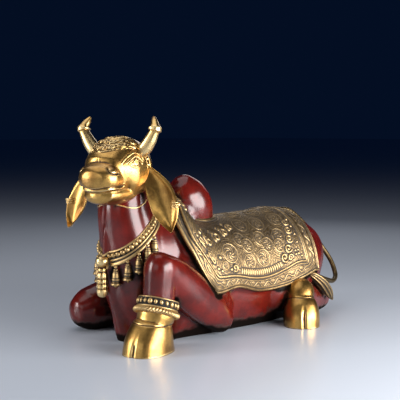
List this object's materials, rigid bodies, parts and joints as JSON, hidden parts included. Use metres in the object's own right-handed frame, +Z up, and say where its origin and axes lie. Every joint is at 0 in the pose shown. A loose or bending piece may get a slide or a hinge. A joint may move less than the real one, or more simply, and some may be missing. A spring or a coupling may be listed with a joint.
{
  "type": "nandi bull figure",
  "caption": "Reclining bull figure cast in brass, with red lacquer, a chased saddle cloth, necklace with bells, anklet and curled tail; stands on its flat underside.",
  "frame": {"origin": "on the flat underside, in the middle plane of the trunk, below the back", "axes": "+Z up, +Y towards the rump and -Y towards the chest and muzzle, +X towards the bull's left side"},
  "size_m": [0.3369, 0.6355, 0.4011],
  "materials": {
    "red_lacquer": "glossy oxblood red lacquer over cast brass, darker in the recesses",
    "polished_brass": "polished, with a warm mottled tone and brown in the creases",
    "aged_brass": "antique, with grey-brown patina in the recesses and rubbed high places"
  },
  "bodies": {
    "root": {"nandi_bull": "red_lacquer"}
  },
  "joints": []
}
